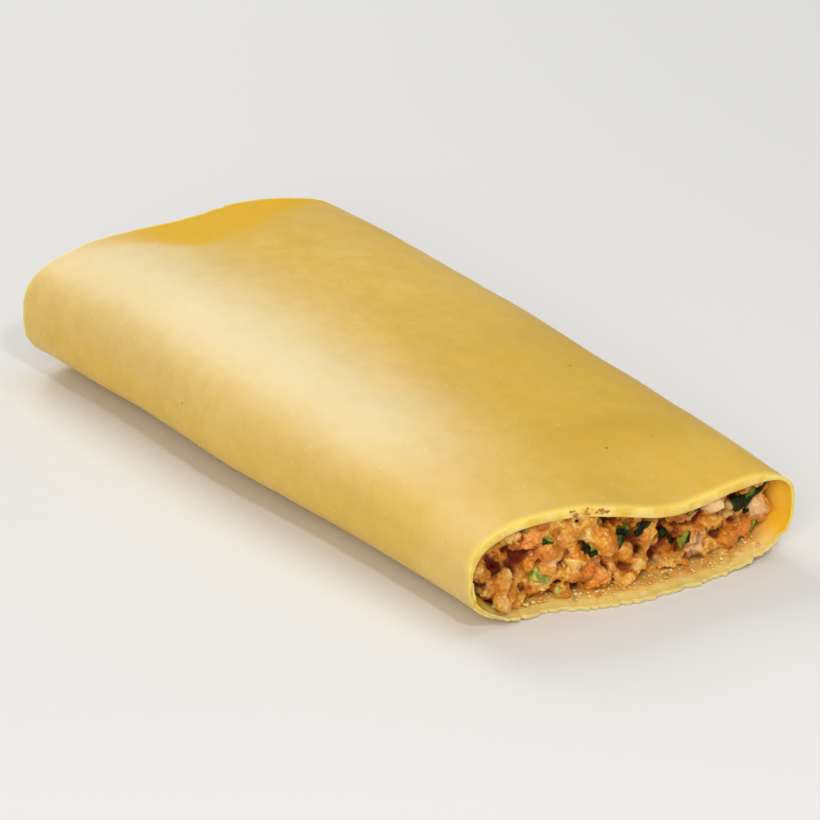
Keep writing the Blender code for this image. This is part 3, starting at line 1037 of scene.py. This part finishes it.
def diced_stalk(near, far):
    """Small cubes of green stalk, softened by cooking."""
    rng = random.Random(8)
    bm = bmesh.new()
    spots = [(near, y, z, size) for y, z, size in NEAR_DICE]
    spots += [(far, y, z, rng.uniform(1.0, 1.9) * MM) for y, z, _, _ in strewn(far, 9 * MM, 1.6 * MM, 1.8 * MM, 0, 1, 40)[:3]]
    for mouth, y, z, size in spots:
        place = facing_out(mouth, y, z, rng.uniform(0, 90), rng.uniform(-25, 25), 0.0)
        shape = Matrix.Diagonal((rng.uniform(0.8, 1.1), rng.uniform(0.8, 1.1), rng.uniform(0.7, 1.0), 1.0))
        bmesh.ops.create_cube(bm, size=size, matrix=place @ shape)
    bmesh.ops.bevel(bm, geom=bm.edges[:], offset=0.22 * MM, segments=2, profile=0.5, affect="EDGES", material=-1)
    bmesh.ops.subdivide_edges(bm, edges=bm.edges[:], cuts=2, use_grid_fill=True)
    for vert in bm.verts:
        vert.co += Vector([grain(vert.co, 0.9 * MM, s) * 0.16 * MM for s in (1.0, 2.0, 3.0)])
    return piece(bm, "green_dice", "filling", green_dice())


def lip_crumbs():
    """Brown crumbs of mince pressed flat on to the upper lip."""
    rng = random.Random(4)
    bm = bmesh.new()
    section = Section(1.0)
    top = [section.outer(section.length * k / 400) for k in range(400)]
    for _ in range(22):
        y = rng.choice((-9.0, -7.2, -5.4, -4.6)) * MM + rng.gauss(0, 0.35) * MM
        on_lip = max((p for p in top if abs(p.y - y) < 0.4 * MM), key=lambda p: p.z)
        drop = rng.uniform(0.15, 0.9) * MM
        spot = placed(1.0, Vector((0.0, y, on_lip.z - drop)))
        flat = Matrix.Diagonal((0.3, rng.uniform(0.9, 1.9), rng.uniform(0.5, 1.0), 1.0))
        place = Matrix.Translation(spot) @ flat
        made = bmesh.ops.create_icosphere(bm, subdivisions=2, radius=rng.uniform(0.14, 0.26) * MM, matrix=place)
        for vert in made["verts"]:
            vert.co += Vector([grain(vert.co, 0.3 * MM, k) * 0.06 * MM for k in (1.0, 2.0, 3.0)])
    return piece(bm, "lip_crumbs", "filling", browned_crumb())


def floor_crumbs(finish):
    """Fine crumbs of mince left on the floor of the near mouth, most of them close to the filling."""
    rng = random.Random(31)
    bm = bmesh.new()
    section = Section(0.985)
    for _ in range(170):
        distance = rng.uniform(0.08, 0.44) * section.length
        behind = 0.005 + 0.03 * rng.random() ** 0.6
        spot = placed(1 - behind, section.inside(distance))
        size = rng.uniform(0.10, 0.30) * MM
        shape = Matrix.Diagonal((rng.uniform(0.7, 1.5), rng.uniform(0.7, 1.5), rng.uniform(0.4, 0.8), 1.0))
        turn = Matrix.Rotation(rng.uniform(0, math.tau), 4, "Z")
        place = Matrix.Translation(spot) @ turn @ shape
        made = bmesh.ops.create_uvsphere(bm, u_segments=7, v_segments=5, radius=size, matrix=place)
        for vert in made["verts"]:
            vert.co += Vector([grain(vert.co, 0.25 * MM, k) * 0.08 * MM for k in (1.0, 2.0, 3.0)])
    return piece(bm, "floor_crumbs", "filling", finish)


def juice_drops():
    """Beads of juice on the floor of the near mouth."""
    rng = random.Random(15)
    bm = bmesh.new()
    section = Section(0.985)
    for _ in range(90):
        distance = rng.uniform(0.10, 0.44) * section.length
        spot = placed(1 - rng.uniform(0.002, 0.04), section.inside(distance))
        radius = rng.choice((0.06, 0.08, 0.10, 0.16)) * MM
        flat = Matrix.Diagonal((1.3, 1.1, 0.5, 1.0))
        place = Matrix.Translation(spot) @ flat
        bmesh.ops.create_uvsphere(bm, u_segments=8, v_segments=5, radius=radius, matrix=place)
    return piece(bm, "juice_drops", "filling", juice())


# ---------------------------------------------------------------- floor, light and camera

VIEW_AZIMUTH, VIEW_ELEVATION = math.radians(54.558), math.radians(23.579)
VIEW_DISTANCE = 434.08 * MM
VIEW_TARGET = Vector((1.341 * MM, 1.286 * MM, 6.546 * MM))
VIEW_LENS = 149.96


def floor():
    bm = bmesh.new()
    bmesh.ops.create_grid(bm, x_segments=1, y_segments=1, size=6.0)
    mesh = bpy.data.meshes.new("floor")
    bm.to_mesh(mesh)
    bm.free()
    obj = bpy.data.objects.new("floor", mesh)
    obj.location.z = -0.0001
    bpy.context.scene.collection.objects.link(obj)
    plain = Finish("pale_floor", {"Base Color": (0.82, 0.82, 0.81, 1.0), "Roughness": 0.9})
    mesh.materials.append(plain.material)


def softbox(name, direction, distance, size, power, colour=(1.0, 1.0, 1.0)):
    """A square soft light that looks at the middle of the roll."""
    data = bpy.data.lights.new(name, "AREA")
    data.size = size
    data.energy = power
    data.color = colour
    light = bpy.data.objects.new(name, data)
    towards = Vector(direction).normalized()
    light.location = towards * distance
    light.rotation_euler = towards.to_track_quat("Z", "Y").to_euler()
    bpy.context.scene.collection.objects.link(light)


def lights():
    softbox("key_behind_left", (-0.74, 0.06, 0.66), 0.6, 0.30, 1.12, (1.0, 0.985, 0.97))
    softbox("front_fill", (0.72, -0.70, 0.50), 0.65, 0.26, 1.75, (1.0, 0.95, 0.86))
    softbox("spark", (0.75, -0.25, 0.75), 0.6, 0.05, 0.7)
    softbox("overhead", (0.1, 0.25, 1.0), 0.8, 0.5, 1.0)
    world = bpy.data.worlds.new("studio")
    world.use_nodes = True
    background = world.node_tree.nodes["Background"]
    background.inputs["Color"].default_value = (1.0, 1.0, 1.0, 1.0)
    background.inputs["Strength"].default_value = 0.34
    bpy.context.scene.world = world


def camera():
    data = bpy.data.cameras.new("camera")
    data.sensor_width = 36.0
    data.lens = VIEW_LENS
    data.clip_start, data.clip_end = 0.01, 20.0
    obj = bpy.data.objects.new("camera", data)
    flat = math.cos(VIEW_ELEVATION)
    back = Vector((math.sin(VIEW_AZIMUTH) * flat, -math.cos(VIEW_AZIMUTH) * flat, math.sin(VIEW_ELEVATION)))
    obj.location = VIEW_TARGET + back * VIEW_DISTANCE
    obj.rotation_euler = back.to_track_quat("Z", "Y").to_euler()
    bpy.context.scene.collection.objects.link(obj)
    bpy.context.scene.camera = obj


def main():
    bpy.context.scene.view_settings.view_transform = "Standard"
    camera()
    lights()
    floor()
    pasta_sheet()
    near, far = filling()
    herb_leaves(near, far)
    diced_stalk(near, far)
    lip_crumbs()
    floor_crumbs(floor_crumb())
    juice_drops()


main()
